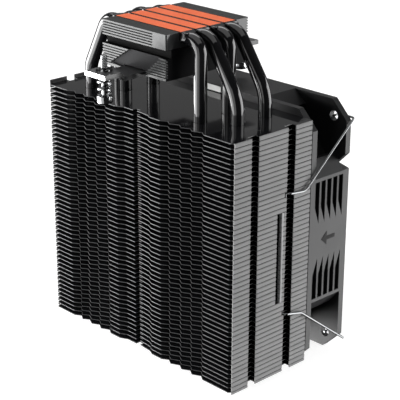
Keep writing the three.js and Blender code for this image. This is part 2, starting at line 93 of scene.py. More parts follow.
def refined(node, name, looks, body, bevel=0.15, smooth=32, segments=2, pick=None):
    """A copy of a CAD node with whole flat faces and rounded edges.

    pick(normal, centre) gives a face's place in looks.
    """
    work = bmesh.new()
    work.from_mesh(nodes[node].data)
    bmesh.ops.remove_doubles(work, verts=work.verts, dist=WELD_DISTANCE)
    bmesh.ops.dissolve_limit(work, angle_limit=math.radians(FLAT_ANGLE), verts=work.verts, edges=work.edges)
    if bevel:
        edges = [e for e in work.edges if e.is_manifold and e.calc_face_angle(0) > math.radians(smooth)]
        bmesh.ops.bevel(work, geom=edges, offset=bevel * MM, offset_type="OFFSET", segments=segments,
                        profile=0.5, affect="EDGES", clamp_overlap=True)
    if pick:
        work.normal_update()
        for face in work.faces:
            face.material_index = pick(face.normal, face.calc_center_median() / MM)
    mesh = bpy.data.meshes.new(name)
    work.to_mesh(mesh)
    work.free()
    obj = bpy.data.objects.new(name, mesh)
    bpy.context.scene.collection.objects.link(obj)
    for look in looks:
        mesh.materials.append(look)
    mesh.shade_smooth()
    mesh.set_sharp_from_angle(angle=math.radians(smooth))
    weighted = obj.modifiers.new("even_faces", "WEIGHTED_NORMAL")
    weighted.weight = 100
    weighted.keep_sharp = True
    settle(obj, body, [node])
    return obj


class Builder:
    """Gathers closed solids into one mesh."""

    def __init__(self):
        self.verts, self.faces, self.looks = [], [], []

    def add(self, verts, faces, look=0):
        start = len(self.verts)
        self.verts += [tuple(v) for v in verts]
        self.faces += [[start + i for i in f] for f in faces]
        self.looks += [look] * len(faces) if isinstance(look, int) else list(look)

    def make(self, name, looks, body, slot, replaces=(), smooth=35):
        return piece(name, self.verts, self.faces, looks, body, replaces, smooth, self.looks)


def prism(loops, z0, z1, look_flat=0, look_side=0):
    """A plate of an outline with holes, drawn in x and y. Returns points, faces and each face's look."""
    flat = [[Vector((x, y, 0)) for x, y in loop] for loop in loops]
    triangles = tessellate_polygon(flat)
    points = [p for loop in flat for p in loop]
    count = len(points)
    verts = [(p.x, p.y, z0) for p in points] + [(p.x, p.y, z1) for p in points]
    faces, looks = [], []
    for a, b, c in triangles:
        normal = (points[b] - points[a]).cross(points[c] - points[a]).z
        if normal < 0:
            a, c = c, a
        faces += [(a + count, b + count, c + count), (c, b, a)]
        looks += [look_flat, look_flat]
    start = 0
    for loop in loops:
        n = len(loop)
        for i in range(n):
            j = (i + 1) % n
            faces.append((start + i, start + j, start + j + count, start + i + count))
            looks.append(look_side)
        start += n
    return verts, faces, looks


def ring(radius, sides, cx=0.0, cy=0.0):
    return [(cx + radius * math.cos(2 * math.pi * i / sides), cy + radius * math.sin(2 * math.pi * i / sides))
            for i in range(sides)]


def rounded_path(corners, step=6.0):
    """Points along straight runs with rounded corners. Each corner is (x, y, z, radius)."""
    points = [np.array(c[:3], float) for c in corners]
    path = [points[0]]
    for i in range(1, len(points) - 1):
        into = points[i] - points[i - 1]
        out = points[i + 1] - points[i]
        into /= np.linalg.norm(into)
        out /= np.linalg.norm(out)
        turn = math.acos(float(np.clip(into @ out, -1, 1)))
        radius = corners[i][3]
        start = points[i] - into * radius * math.tan(turn / 2)
        side = out - into * (out @ into)
        side /= np.linalg.norm(side)
        steps = max(2, round(math.degrees(turn) / step))
        for s in range(steps + 1):
            a = turn * s / steps
            path.append(start + side * radius * (1 - math.cos(a)) + into * radius * math.sin(a))
    path.append(points[-1])
    return path


def swept(path, section, up):
    """A closed tube through the path.

    section(i) gives the points (a, b) of ring i, along the side and the up direction.
    """
    path = [np.array(p, float) for p in path]
    verts, count = [], None
    reference = np.array(up, float)
    for i, p in enumerate(path):
        before, after = path[max(i - 1, 0)], path[min(i + 1, len(path) - 1)]
        tangent = after - before
        tangent /= np.linalg.norm(tangent)
        side = np.cross(reference, tangent)
        side /= np.linalg.norm(side)
        normal = np.cross(tangent, side)
        reference = normal
        points = section(i)
        count = len(points)
        verts += [tuple(p + side * a + normal * b) for a, b in points]
    faces = []
    for i in range(len(path) - 1):
        for j in range(count):
            k = (j + 1) % count
            faces.append((i * count + j, i * count + k, (i + 1) * count + k, (i + 1) * count + j))
    faces.append(tuple(range(count))[::-1])
    last = (len(path) - 1) * count
    faces.append(tuple(last + j for j in range(count)))
    return verts, faces


def round_section(radius, sides):
    points = ring(radius, sides)
    return lambda i: points


def lathe(profile, sides, centre=(0, 0), radius_at=None):
    """A closed turned solid about Z. Profile is (radius, z) from bottom to top, both ends on the axis."""
    cx, cy = centre
    verts, faces = [(cx, cy, profile[0][1])], []
    inner = profile[1:-1]
    for row, (r, z) in enumerate(inner):
        for j in range(sides):
            a = 2 * math.pi * j / sides
            rr = radius_at(row, r, z, a) if radius_at else r
            verts.append((cx + rr * math.cos(a), cy + rr * math.sin(a), z))
    verts.append((cx, cy, profile[-1][1]))
    top = len(verts) - 1
    for j in range(sides):
        k = (j + 1) % sides
        faces.append((0, 1 + k, 1 + j))
        for row in range(len(inner) - 1):
            a, b = 1 + row * sides, 1 + (row + 1) * sides
            faces.append((a + j, a + k, b + k, b + j))
        a = 1 + (len(inner) - 1) * sides
        faces.append((a + j, a + k, top))
    return verts, faces


# ---------------------------------------------------------------- materials
class Look:
    """A node material on a Principled shader.

    Values that are the same all over are set on the shader's own sockets.
    """

    def __init__(self, name, roughness=0.5, metallic=0.0, **fixed):
        self.material = bpy.data.materials.new(name)
        self.material.use_nodes = True
        self.tree = self.material.node_tree
        self.tree.nodes.clear()
        self.shader = self.tree.nodes.new("ShaderNodeBsdfPrincipled")
        out = self.tree.nodes.new("ShaderNodeOutputMaterial")
        self.tree.links.new(self.shader.outputs[0], out.inputs[0])
        self.shader.inputs["Roughness"].default_value = roughness
        self.shader.inputs["Metallic"].default_value = metallic
        for key, value in fixed.items():
            self.shader.inputs[key.replace("_", " ")].default_value = value
        self.coordinates = self.tree.nodes.new("ShaderNodeTexCoord")

    def node(self, kind, sources=(), **settings):
        made = self.tree.nodes.new("ShaderNode" + kind)
        for key, value in settings.items():
            setattr(made, key, value)
        for socket, source in dict(sources).items():
            target = made.inputs[socket]
            if isinstance(source, bpy.types.NodeSocket):
                self.tree.links.new(source, target)
            else:
                target.default_value = source
        return made

    def place(self, stretch=(1, 1, 1)):
        scaled = self.node("Mapping", {"Vector": self.coordinates.outputs["Object"], "Scale": stretch})
        return scaled.outputs[0]

    def noise(self, scale, detail=4.0, stretch=(1, 1, 1), roughness=0.55):
        made = self.node("TexNoise", {"Vector": self.place(stretch), "Scale": scale, "Detail": detail,
                                      "Roughness": roughness})
        return made.outputs["Fac"]

    def ranged(self, value, low, high, from_low=0.0, from_high=1.0):
        made = self.node("MapRange", {"Value": value, "From Min": from_low, "From Max": from_high,
                                      "To Min": low, "To Max": high})
        return made.outputs["Result"]

    def mixed(self, factor, first, second):
        made = self.node("Mix", {"Factor": factor}, data_type="RGBA")
        for socket, source in ((made.inputs[6], first), (made.inputs[7], second)):
            if isinstance(source, bpy.types.NodeSocket):
                self.tree.links.new(source, socket)
            else:
                socket.default_value = (*source, 1.0)
        return made.outputs[2]

    def math(self, operation, a, b=0.0):
        made = self.node("Math", {0: a, 1: b}, operation=operation)
        return made.outputs[0]

    def edges(self, radius, low=0.02, high=0.25):
        """1 along convex and concave edges within the radius, 0 on open faces."""
        soft = self.node("Bevel", {"Radius": radius * MM}, samples=4)
        plain = self.node("NewGeometry")
        dot = self.node("VectorMath", {0: soft.outputs[0], 1: plain.outputs["Normal"]},
                        operation="DOT_PRODUCT")
        turned = self.math("SUBTRACT", 1.0, dot.outputs["Value"])
        return self.ranged(turned, 0.0, 1.0, low, high)

    def set(self, socket, source):
        self.tree.links.new(source, self.shader.inputs[socket])

    def bump(self, height, strength, distance):
        made = self.node("Bump", {"Height": height, "Strength": strength, "Distance": distance * MM})
        self.set("Normal", made.outputs[0])


def coated(name, dark, light, rough, patch=90, grain=2600, stretch=(1, 1, 1), bump=0.15, depth=0.02,
           wear=None, wear_radius=0.25, wear_amount=0.6, metallic=0.0, **fixed):
    """A surface with slow colour drift, fine grain in its roughness and bump, and edges rubbed lighter."""
    look = Look(name, metallic=metallic, **fixed)
    drift = look.noise(patch, 3)
    fine = look.noise(grain, 3, stretch)
    colour = look.mixed(look.ranged(drift, 0, 1, 0.3, 0.7), dark, light)
    roughness = look.math("ADD", look.ranged(fine, rough[0], rough[1], 0.3, 0.7),
                          look.ranged(drift, -0.02, 0.03, 0.3, 0.7))
    if wear:
        rubbed = look.math("MULTIPLY", look.edges(wear_radius),
                           look.ranged(look.noise(700, 4), 0.3, 1.0, 0.35, 0.65))
        rubbed = look.math("MULTIPLY", rubbed, wear_amount)
        colour = look.mixed(rubbed, colour, wear)
    look.set("Base Color", colour)
    look.set("Roughness", roughness)
    look.bump(fine, bump, depth)
    return look.material


FIN_PITCH = 2.2
FIN_COUNT = 52
STACK = {"half": 60.0, "front": -24.1, "back": 23.1, "bottom": -150.7, "top": -37.3}
FIN_THICK = 0.32


def fin_tab_look():
    """The folded ends: one tone a fin, a painted shade line where a tab ends, and faint rolling marks."""
    look = Look("fin_tab_coating", metallic=0.0)
    look.shader.inputs["Specular IOR Level"].default_value = 0.5
    split = look.node("SeparateXYZ", {"Vector": look.coordinates.outputs["Object"]})
    above = look.math("SUBTRACT", split.outputs["Z"], STACK["bottom"] * MM)
    steps = look.math("DIVIDE", above, FIN_PITCH * MM)
    whole = look.math("FLOOR", steps)
    tone = look.node("TexWhiteNoise", {"W": whole}, noise_dimensions="1D").outputs["Value"]
    within = look.math("FRACT", steps)
    drift = look.noise(60, 3)
    marks = look.noise(900, 3, (0.2, 0.2, 3))
    # Painted shade: each fin step runs from lighter at its bottom to darker at its top, the shade where one
    # tab meets the next.
    shade = look.math("ADD", look.ranged(tone, -0.16, 0.16), look.ranged(within, 0.12, -0.14))
    shade = look.math("ADD", shade, look.ranged(drift, -0.1, 0.1, 0.3, 0.7))
    shade = look.math("ADD", shade, look.ranged(marks, -0.12, 0.12, 0.3, 0.7))
    colour = look.mixed(look.ranged(shade, 0, 1, -0.4, 0.4), (0.096, 0.096, 0.097), (0.150, 0.150, 0.151))
    look.set("Base Color", colour)
    look.set("Roughness", look.ranged(marks, 0.42, 0.56, 0.3, 0.7))
    look.bump(marks, 0.2, 0.02)
    return look.material


def copper_look():
    """Bare milled copper: a warm tone that drifts, with fine darker lines along X."""
    look = Look("bare_copper", metallic=1.0)
    lines = look.noise(1500, 3, (0.06, 1, 1))
    drift = look.noise(70, 3)
    colour = look.mixed(look.ranged(drift, 0, 1, 0.3, 0.7), (0.97, 0.21, 0.08), (1.0, 0.25, 0.11))
    colour = look.mixed(look.ranged(lines, 0.0, 0.35, 0.45, 0.7), colour, (0.86, 0.15, 0.058))
    look.set("Base Color", colour)
    look.set("Roughness", look.ranged(lines, 0.42, 0.58, 0.3, 0.7))
    look.bump(lines, 0.25, 0.02)
    return look.material


def steel_look(name="bright_steel_wire", stretch=(1, 1, 1), rough=(0.16, 0.30), tint=(0.78, 0.79, 0.80)):
    return coated(name, tuple(c * 0.9 for c in tint), tint, rough, patch=220, grain=3000, stretch=stretch,
                  bump=0.12, depth=0.01, metallic=1.0)


fin_coat = coated("fin_coating_gloss", (0.006, 0.006, 0.007), (0.010, 0.010, 0.011), (0.05, 0.09), patch=40,
                  grain=1500, stretch=(0.08, 1, 1), bump=0.04, depth=0.01)
fin_edge = coated("fin_sheared_edge", (0.013, 0.013, 0.014), (0.026, 0.026, 0.027), (0.42, 0.55), patch=300,
                  grain=4000, bump=0.2, depth=0.01, Specular_IOR_Level=0.28)
# Painted highlight: the fins' cut edges at the bottom of the wire grooves, much lighter than the same sheared
# edges at the front.
groove_painted_highlight = coated("fin_groove_painted_highlight", (0.16, 0.16, 0.162), (0.26, 0.26, 0.262), (0.40, 0.52), patch=300,
                     grain=4000, bump=0.2, depth=0.01)
fin_tab = fin_tab_look()
nickel = coated("black_nickel_plate", (0.006, 0.006, 0.007), (0.010, 0.010, 0.011), (0.05, 0.09), patch=60,
                grain=900, bump=0.03, depth=0.01, Specular_IOR_Level=0.8)
# Painted highlight: the slot's folded lips, far lighter than the tabs of the same coated fins.
lip_painted_highlight = coated("lip_edge_painted_highlight", (0.20, 0.20, 0.202), (0.28, 0.28, 0.282), (0.3, 0.42), patch=120,
                    grain=3000, bump=0.15, depth=0.01, metallic=0.2)
copper = copper_look()
block_black = coated("block_anodised", (0.012, 0.013, 0.013), (0.020, 0.021, 0.021), (0.26, 0.36), patch=70,
                     grain=1800, stretch=(0.1, 1, 1), bump=0.1, depth=0.01, wear=(0.10, 0.10, 0.105),
                     wear_radius=0.12, wear_amount=0.4, Specular_IOR_Level=0.3)
# Painted shade: the slotted block's ends and slanted reliefs, darker than its anodised faces.
painted_shade_relief = coated("slotted_relief_shade_paint", (0.004, 0.004, 0.005), (0.008, 0.008, 0.009), (0.45, 0.6),
                      patch=90, grain=2400, bump=0.3, depth=0.03, Specular_IOR_Level=0.06)
# Painted shade, darker still: the slot's ledge, its ridge and the block's underside.
painted_shade_recess = coated("slotted_recess_shade_paint", (0.001, 0.001, 0.001), (0.003, 0.003, 0.003), (0.6, 0.75),
                      patch=90, grain=2400, bump=0.3, depth=0.03, Specular_IOR_Level=0.03)
block_side = coated("block_polished_end", (0.030, 0.031, 0.032), (0.042, 0.043, 0.044), (0.07, 0.12),
                    patch=70, grain=1800, stretch=(1, 0.1, 1), bump=0.04, depth=0.01,
                    wear=(0.25, 0.25, 0.26), wear_radius=0.3, wear_amount=0.6)
bar_nickel = coated("bar_dark_nickel", (0.15, 0.15, 0.155), (0.20, 0.20, 0.205), (0.30, 0.40), patch=120,
                    grain=2600, stretch=(1, 0.2, 1), bump=0.08, depth=0.01, metallic=1.0)
bar_edge = coated("bar_sheared_edge", (0.86, 0.86, 0.87), (0.94, 0.94, 0.95), (0.34, 0.48), patch=200,
                  grain=3000, stretch=(1, 1, 0.2), bump=0.3, depth=0.02, metallic=1.0)
steel = steel_look()
spring_steel = steel_look("spring_steel", (1, 1, 1), (0.10, 0.18), (0.34, 0.345, 0.35))
wire_steel = steel_look("clip_wire_steel", (1, 1, 1), (0.12, 0.20), (0.20, 0.205, 0.21))
plastic = coated("fan_plastic_textured", (0.005, 0.005, 0.006), (0.009, 0.009, 0.010), (0.40, 0.52), patch=60,
                 grain=5200, bump=0.2, depth=0.02, wear=(0.05, 0.05, 0.053), wear_radius=0.4, wear_amount=0.5,
                 Specular_IOR_Level=0.35)
arrow_mark = coated("raised_arrow", (0.004, 0.004, 0.004), (0.007, 0.007, 0.007), (0.5, 0.6), patch=120,
                    grain=4000, bump=0.15, depth=0.02, Specular_IOR_Level=0.12)
blade_plastic = coated("fan_blade_plastic", (0.009, 0.009, 0.010), (0.014, 0.014, 0.015), (0.30, 0.42),
                       patch=60, grain=4200, bump=0.15, depth=0.02, wear=(0.04, 0.04, 0.043),
                       wear_radius=0.5, wear_amount=0.5)
cap_plastic = coated("dark_cap_plastic", (0.02, 0.02, 0.022), (0.03, 0.03, 0.032), (0.45, 0.6), patch=100,
                     grain=3000, bump=0.2, depth=0.02)
ferrite = coated("ferrite_grain", (0.035, 0.035, 0.037), (0.06, 0.058, 0.058), (0.55, 0.75), patch=200,
                 grain=5000, bump=0.4, depth=0.03)
winding = coated("winding_enamel", (0.35, 0.11, 0.035), (0.55, 0.2, 0.07), (0.25, 0.45), patch=300,
                 grain=2500, stretch=(0.1, 1, 1), bump=0.6, depth=0.08, metallic=0.6)
board = coated("board_solder_mask", (0.012, 0.09, 0.035), (0.02, 0.13, 0.055), (0.25, 0.4), patch=300,
               grain=1500, bump=0.2, depth=0.02)
brass = coated("sintered_brass", (0.42, 0.26, 0.09), (0.6, 0.4, 0.16), (0.35, 0.55), patch=300, grain=5000,
               bump=0.4, depth=0.02, metallic=1.0)
label_film = coated("blank_label", (0.84, 0.84, 0.82), (0.93, 0.93, 0.92), (0.35, 0.5), patch=200,
                    grain=3500, bump=0.1, depth=0.01)

# ---------------------------------------------------------------- fin stack
PIPE_ROWS = [-12.6, -4.2, 4.2, 12.6]
INNER_LEG, OUTER_LEG = 28.8, 42.3
PIPE_R = 3.0
GROOVES = [(-13.4, -9.0), (8.3, 13.0)]
GROOVE_DEPTH = 2.5
WINDOW = {"y": (2.8, 5.6), "z": (-116.7, -73.7), "depth": 2.6}
LIP = {"width": 1.0, "depth": 1.5}
CORNER = {"cut": 1.6, "tab_inset": 0.9, "end_gap": 0.25}
PIPE_HOLE_GAP = 0.18
LEFT_RIM = 1.7
FRONT_WAVE = [(-46.3, 0), (-43, 1.9), (-40, 0), (-37, 1.9), (-33.1, 0), (-29.6, 1.9), (-26.2, 0),
              (-22.1, 1.9), (-19.1, 0), (-12.7, 0), (-9, 1.8), (-3, 1.8), (-3, 4), (-0.5, 4), (-0.5, 2.1),
              (6.8, 1.4), (9.9, 0), (16.1, 0), (19.2, 1.9), (22.2, 0), (26.3, 1.9), (29.4, 0), (33.1, 1.9),
              (36, 0), (40, 1.9), (42.8, 0)]


def legs(index):
    """The x of a pipe's right and left legs; neighbours are staggered."""
    return (INNER_LEG, -OUTER_LEG) if index % 2 == 0 else (OUTER_LEG, -INNER_LEG)


def fin_outline(notched):
    """One fin seen from above: (x, depth behind the front) waves, then the right end, and its mirror."""
    end = STACK["half"] - CORNER["end_gap"]
    inset = STACK["half"] - GROOVE_DEPTH
    corner = STACK["front"] + CORNER["cut"]
    cuts = [(y0, y1, inset) for y0, y1 in GROOVES]
    if notched:
        cuts.append((*WINDOW["y"], STACK["half"] - WINDOW["depth"]))
    cuts.sort()
    right = [(STACK["half"] - CORNER["cut"], STACK["front"]), (end, corner - CORNER["end_gap"])]
    for y0, y1, x in cuts:
        right += [(end, y0), (x, y0), (x, y1), (end, y1)]
    right.append((end, STACK["back"]))
    left = [(-x, y) for x, y in reversed(right)]
    wave = [(x, STACK["front"] + d) for x, d in FRONT_WAVE]
    return [*wave, *right, *left]


def fin_loops(notched, leg_ring):
    holes = [ring(leg_ring, 20, x, y) for i, y in enumerate(PIPE_ROWS) for x in legs(i)]
    return [fin_outline(notched), *holes]


def plate_z(k):
    return STACK["top"] - FIN_THICK - FIN_PITCH * (FIN_COUNT - 1 - k)


def is_notched(z):
    return WINDOW["z"][0] < z < WINDOW["z"][1]


def in_groove(verts, face):
    """Whether a cut edge is the bottom of a wire groove."""
    depth = STACK["half"] - GROOVE_DEPTH
    return all(abs(abs(verts[i][0]) - depth) < 0.01 for i in face)


def fin_plates():
    """All the fins in one piece: flat faces, sheared edges, and the edges in the wire grooves painted lighter
    as a highlight.
    """
    fins = Builder()
    shapes = {flag: fin_loops(flag, PIPE_R + PIPE_HOLE_GAP) for flag in (False, True)}
    for k in range(FIN_COUNT):
        z = plate_z(k)
        verts, faces, looks = prism(shapes[is_notched(z)], z, z + FIN_THICK, 0, 1)
        # The groove-bottom edges take the painted highlight look.
        looks = [2 if look and in_groove(verts, face) else look for face, look in zip(faces, looks)]
        fins.add(verts, faces, looks)
    fins.make("fin_plates", [fin_coat, fin_edge, groove_painted_highlight], COOLER, "fin_coating",
              [f"fin_pack_{i}" for i in range(1, 10)], smooth=25)


fin_plates()

TAB_RANGES = [(STACK["front"] + CORNER["tab_inset"], GROOVES[0][0]),
              (GROOVES[0][1], GROOVES[1][0]),
              (GROOVES[1][1], STACK["back"])]
TAB_THICK = 0.34


def tab_profile(rise):
    """A tab's outline, folded at a small radius, in x from the end face and z from its plate.

    rise is +1 for a tab folded up and -1 for one folded down.
    """
    outer = [(-1.0, FIN_THICK), (-0.42, FIN_THICK - 0.02), (-0.14, FIN_THICK - 0.16),
             (-0.02, FIN_THICK - 0.46), (0.0, -0.4), (-0.03, -1.62)]
    inner = [(-TAB_THICK - 0.03, -1.62), (-TAB_THICK, -0.4), (-TAB_THICK - 0.05, 0.0), (-1.0, 0.0)]
    points = outer + inner
    if rise > 0:
        points = [(x, FIN_THICK - z) for x, z in points]
    return points


def add_tab(builder, side, y0, y1, z, rise, low_limit=None, top=None):
    """A tab from y0 to y1. It stops at low_limit, or its far end is stretched to top."""
    profile = tab_profile(rise)
    rows = []
    for y in (y0, y1):
        row = []
        for dx, dz in profile:
            height = z + dz
            if low_limit is not None:
                height = max(height, low_limit)
            if top is not None and dz > 1.0:
                height = top
            row.append((side * (STACK["half"] + dx), y, height))
        rows.append(row)
    n = len(profile)
    faces = [tuple(range(n)), tuple(range(2 * n - 1, n - 1, -1))]
    faces += [(i, (i + 1) % n, n + (i + 1) % n, n + i) for i in range(n)]
    builder.add(rows[0] + rows[1], faces)


FAN = {"near": 23.5, "depth": 25.0, "centre": -94.2, "hole": 52.5}
WIRE = {"r": 0.5, "groove_x": 58.35, "groove_y": 9.15, "side_x": 60.85, "bend_y": 18.9,
        "up": 27.6, "down": 28.6, "bend_up": 26.4, "bend_down": 31, "low_sag": 1.8, "hook": 3.4}
HOOK_NOTCH = 1.3


def takes_wire(z):
    """Whether a fin's tab lies where a clip wire bends into the groove."""
    return any(z - 1.6 < FAN["centre"] + rise < z + 0.6 for rise in (WIRE["up"], -WIRE["down"]))


def add_lip(builder, side, z):
    """The folded lip of one fin at the back wall of the slot in the end tabs, painted lighter as a highlight
    on that wall.
    """
    end, wall = STACK["half"], WINDOW["y"][1]
    deep, skin = end - LIP["depth"], TAB_THICK
    rim = [(deep, wall), (end - 0.5, wall), (end - 0.12, wall + 0.12), (end, wall + 0.45),
           (end, wall + LIP["width"]), (end - skin, wall + LIP["width"]), (end - skin, wall + skin),
           (deep, wall + skin)]
    low, high = z + FIN_THICK - FIN_PITCH, z + FIN_THICK
    verts, faces, _ = prism([[(side * x, y) for x, y in rim]], low, high)
    builder.add(verts, faces)


def end_tabs():
    """The folded tabs on both ends of every fin, with the slot's lips, and the left rim above the stack."""
    tabs, lips = Builder(), Builder()
    for k in range(FIN_COUNT):
        z = plate_z(k)
        ranges = list(TAB_RANGES)
        if takes_wire(z):
            ranges[1] = (ranges[1][0], ranges[1][1] - HOOK_NOTCH)
        if is_notched(z):
            ranges[1:2] = [(ranges[1][0], WINDOW["y"][0]), (WINDOW["y"][1] + LIP["width"], ranges[1][1])]
            for side in (1, -1):
                add_lip(lips, side, z)
        for y0, y1 in ranges:
            for side in (1, -1):
                add_tab(tabs, side, y0, y1, z, -1, low_limit=STACK["bottom"])
    # The lips take the painted highlight look.
    lips.make("window_lips", [lip_painted_highlight], COOLER, "fin_coating", smooth=50)
    top_plate = plate_z(FIN_COUNT - 1)
    for y0, y1 in TAB_RANGES:
        add_tab(tabs, -1, y0, y1, top_plate, 1, top=STACK["top"] + LEFT_RIM)
    tabs.make("fin_end_tabs", [fin_tab], COOLER, "fin_coating", smooth=40)


end_tabs()

# ---------------------------------------------------------------- heat pipes
FLAT_END = 20.5
FLAT = {"half_width": 3.7, "half_height": 2.3, "centre": -2.3, "crown": 0.25}
AXIS_Z = -3.1
TIP_Z = -153.0
TIP_TAPER = [(0.26, 0.0), (0.55, 0.12), (0.8, 0.6), (0.94, 1.3)]
TIP_LENGTH = 1.9
ROUND_FROM = {"outer": 24.4, "inner": 22.9, "before_shoulder": 4.2}
INNER_BEND = 5.8
RAMP = [0.12, 0.3, 0.55, 0.8, 0.95, 1.0]
RIGHT_BEND = {"shoulder": 25.7, "angle": 55.0, "shoulder_radius": 8.0, "knee_radius": 20.0}
LEFT_BEND = {"shoulder": 30.2, "angle": 62.3, "shoulder_radius": 7.3, "knee_radius": 9.0}


def half_pipe(leg_x):
    """Corners from the flat's end to the tip of one leg, as (x, y, z, bend radius) with y left at 0."""
    side = 1 if leg_x > 0 else -1
    end = (leg_x, 0, TIP_Z + TIP_LENGTH, 0)
    if abs(leg_x) == INNER_LEG:
        return [(side * ROUND_FROM["inner"], 0, AXIS_Z, 0), (leg_x, 0, AXIS_Z, INNER_BEND), end]
    bend = RIGHT_BEND if side > 0 else LEFT_BEND
    drop = (OUTER_LEG - bend["shoulder"]) * math.tan(math.radians(bend["angle"]))
    start = min(ROUND_FROM["outer"], bend["shoulder"] - ROUND_FROM["before_shoulder"])
    return [(side * start, 0, AXIS_Z, 0), (side * bend["shoulder"], 0, AXIS_Z, bend["shoulder_radius"]),
            (leg_x, 0, AXIS_Z - drop, bend["knee_radius"]), end]


def pipe_section(flatness, scale=1.0, sides=28):
    """A ring between a circle and a flattened pipe with a milled top."""
    power = 2.0 / (2.0 + 5.0 * flatness)
    wide = PIPE_R + (FLAT["half_width"] - PIPE_R) * flatness
    high = PIPE_R + (FLAT["half_height"] + FLAT["crown"] - PIPE_R) * flatness
    cap = PIPE_R + (FLAT["half_height"] - PIPE_R) * flatness
    points = []
    for j in range(sides):
        a = 2 * math.pi * (j + 0.5) / sides
        c, s = math.cos(a), math.sin(a)
        x = wide * math.copysign(abs(c) ** power, c)
        y = high * math.copysign(abs(s) ** power, s)
        points.append((x * scale, min(y, cap) * scale))
    return points


def heat_pipe(index):
    """One pipe, swept from the left tip over the base to the right tip."""
    y = PIPE_ROWS[index]
    right, left = legs(index)
    runs = {leg: rounded_path(half_pipe(leg), 5) for leg in (right, left)}
    path, flat, scale = [], [], []

    def put(point, flatness, size=1.0):
        path.append((point[0], y, point[2]))
        flat.append(flatness)
        scale.append(size)

    for size, rise in TIP_TAPER:
        put((left, 0, TIP_Z + rise), 0, size)
    for p in reversed(runs[left]):
        put(p, 0.0)
    left_start = runs[left][0][0]
    for i, f in enumerate(RAMP):
        t = (i + 1) / (len(RAMP) + 1)
        x = left_start + (-FLAT_END - 0.05 - left_start) * t
        put((x, 0, AXIS_Z + (FLAT["centre"] - AXIS_Z) * f), f)
    for x in (-FLAT_END, -10, 0, 10, FLAT_END):
        put((x, 0, FLAT["centre"]), 1.0)
    right_start = runs[right][0][0]
    for i, f in reversed(list(enumerate(RAMP))):
        t = (i + 1) / (len(RAMP) + 1)
        x = right_start + (FLAT_END + 0.05 - right_start) * t
        put((x, 0, AXIS_Z + (FLAT["centre"] - AXIS_Z) * f), f)
    for p in runs[right]:
        put(p, 0.0)
    for size, rise in reversed(TIP_TAPER):
        put((right, 0, TIP_Z + rise), 0, size)
    verts, faces = swept(path, lambda i: pipe_section(flat[i], scale[i]), (-1, 0, 0))
    looks = []
    for f in faces:
        corners = [verts[v] for v in f]
        inside = all(abs(c[0]) <= FLAT_END + 0.01 for c in corners)
        top = all(c[2] > -0.02 for c in corners)
        looks.append(1 if inside and top else 0)
    piece(f"pipe_{index + 1}", verts, faces, [nickel, copper], COOLER,
          [f"heat_pipe_{index + 1}"], 40, looks)


for pipe_index in range(4):
    heat_pipe(pipe_index)

# ---------------------------------------------------------------- base, bar and screws
SLOTTED = {"relief_y": 22.9, "ridge_y": 21.2, "ledge": -10.4}


def end_faces(normal, centre):
    return int(abs(normal.x) > 0.9)


def slotted_faces(normal, centre):
    """The ends and slanted reliefs are painted darker as shade; the ledge, its ridge and the underside are
    painted darker still as shade.
    """
    facing_y = abs(normal.y) > 0.9
    on_relief = facing_y and abs(abs(centre.y) - SLOTTED["relief_y"]) < 0.1
    on_ridge = facing_y and abs(abs(centre.y) - SLOTTED["ridge_y"]) < 0.1
    on_ledge = normal.z > 0.9 and abs(centre.z - SLOTTED["ledge"]) < 0.1
    if on_ridge or on_ledge or normal.z < -0.9:
        return 2
    return int(on_relief or abs(normal.x) > 0.9)


def sheared_faces(normal, centre):
    """The bar's bare cut ends and plated sides; its rolled faces look up, down or along the bends."""
    if abs(normal.y) > 0.9 and abs(centre.y) > 40:
        return 1
    return 2 * int(abs(normal.x) > 0.7)


refined("base_block", "contact_block", [block_black, block_side], COOLER, 0.12, pick=end_faces)
# The slotted block's reliefs, ends, ledge, ridge and underside take the painted shade looks.
refined("base_heatsink", "slotted_block", [block_black, painted_shade_relief, painted_shade_recess], COOLER,
        0.12, pick=slotted_faces)
refined("mounting_bar", "spring_bar", [bar_nickel, bar_edge, block_side], COOLER, 0.35,
        segments=3, pick=sheared_faces)
for i in (1, 2):
    refined(f"base_screw_{i}", f"block_screw_{i}", [steel], COOLER, 0.15)

SCREW_Y = 40.2
SCREW = {"r": 1.5, "neck": 1.3, "tip": -9.2, "tip_r": 0.95, "head_top": -26.5, "head_low": -29.7,
         "head_r": 3.4, "rim_r": 2.9, "socket_r": 1.15, "socket_depth": 1.3}
BAR_TOP, BAR_LOW = -16.2, -18.2
THREAD = {"pitch": 0.7, "depth": 0.28, "start": BAR_TOP + 1.6, "end": SCREW["tip"] - 0.5, "power": 1.2}


def spring_screw(label, y):
    """A screw with a hexagonal socket in its head, below, and a thread at its tip, above the bar."""
    low, high, tip, neck = SCREW["head_low"], SCREW["head_top"], SCREW["tip"], SCREW["neck"]
    floor, socket = low + SCREW["socket_depth"], SCREW["socket_r"]
    profile = [(0, floor), (socket, floor), (socket + 0.05, low + 0.1), (1.4, low), (SCREW["rim_r"], low),
               (3.25, low + 0.12), (SCREW["head_r"], low + 0.45), (SCREW["head_r"], high - 0.5),
               (3.2, high - 0.1), (SCREW["rim_r"], high), (1.75, high), (neck, high + 0.35),
               (neck, THREAD["start"] - 0.2)]
    z = THREAD["start"]
    while z < THREAD["end"]:
        profile.append((SCREW["r"], z))
        z += THREAD["pitch"] / 4
    profile += [(neck, tip - 0.35), (SCREW["tip_r"], tip), (0, tip)]

    def radius_at(row, r, z, a):
        if row in (0, 1):
            sixth = math.pi / 3
            return r / math.cos((a % sixth) - sixth / 2)
        if THREAD["start"] - 0.1 < z < THREAD["end"] + 0.1:
            phase = (z / THREAD["pitch"] - a / (2 * math.pi)) % 1.0
            return r - THREAD["depth"] * abs(2 * phase - 1) ** THREAD["power"]
        return r

    verts, faces = lathe(profile, 48, (0, y), radius_at)
    piece(f"spring_screw_{label}", verts, faces, [spring_steel], f"screw_{label}",
          [f"mounting_screw_{label}"], 38)


SPRING = {"wire": 0.6, "radius": 2.7, "turns": 2.25, "steps_a_turn": 26, "gap": 0.3, "clearance": 0.32,
          "press": 3.5}


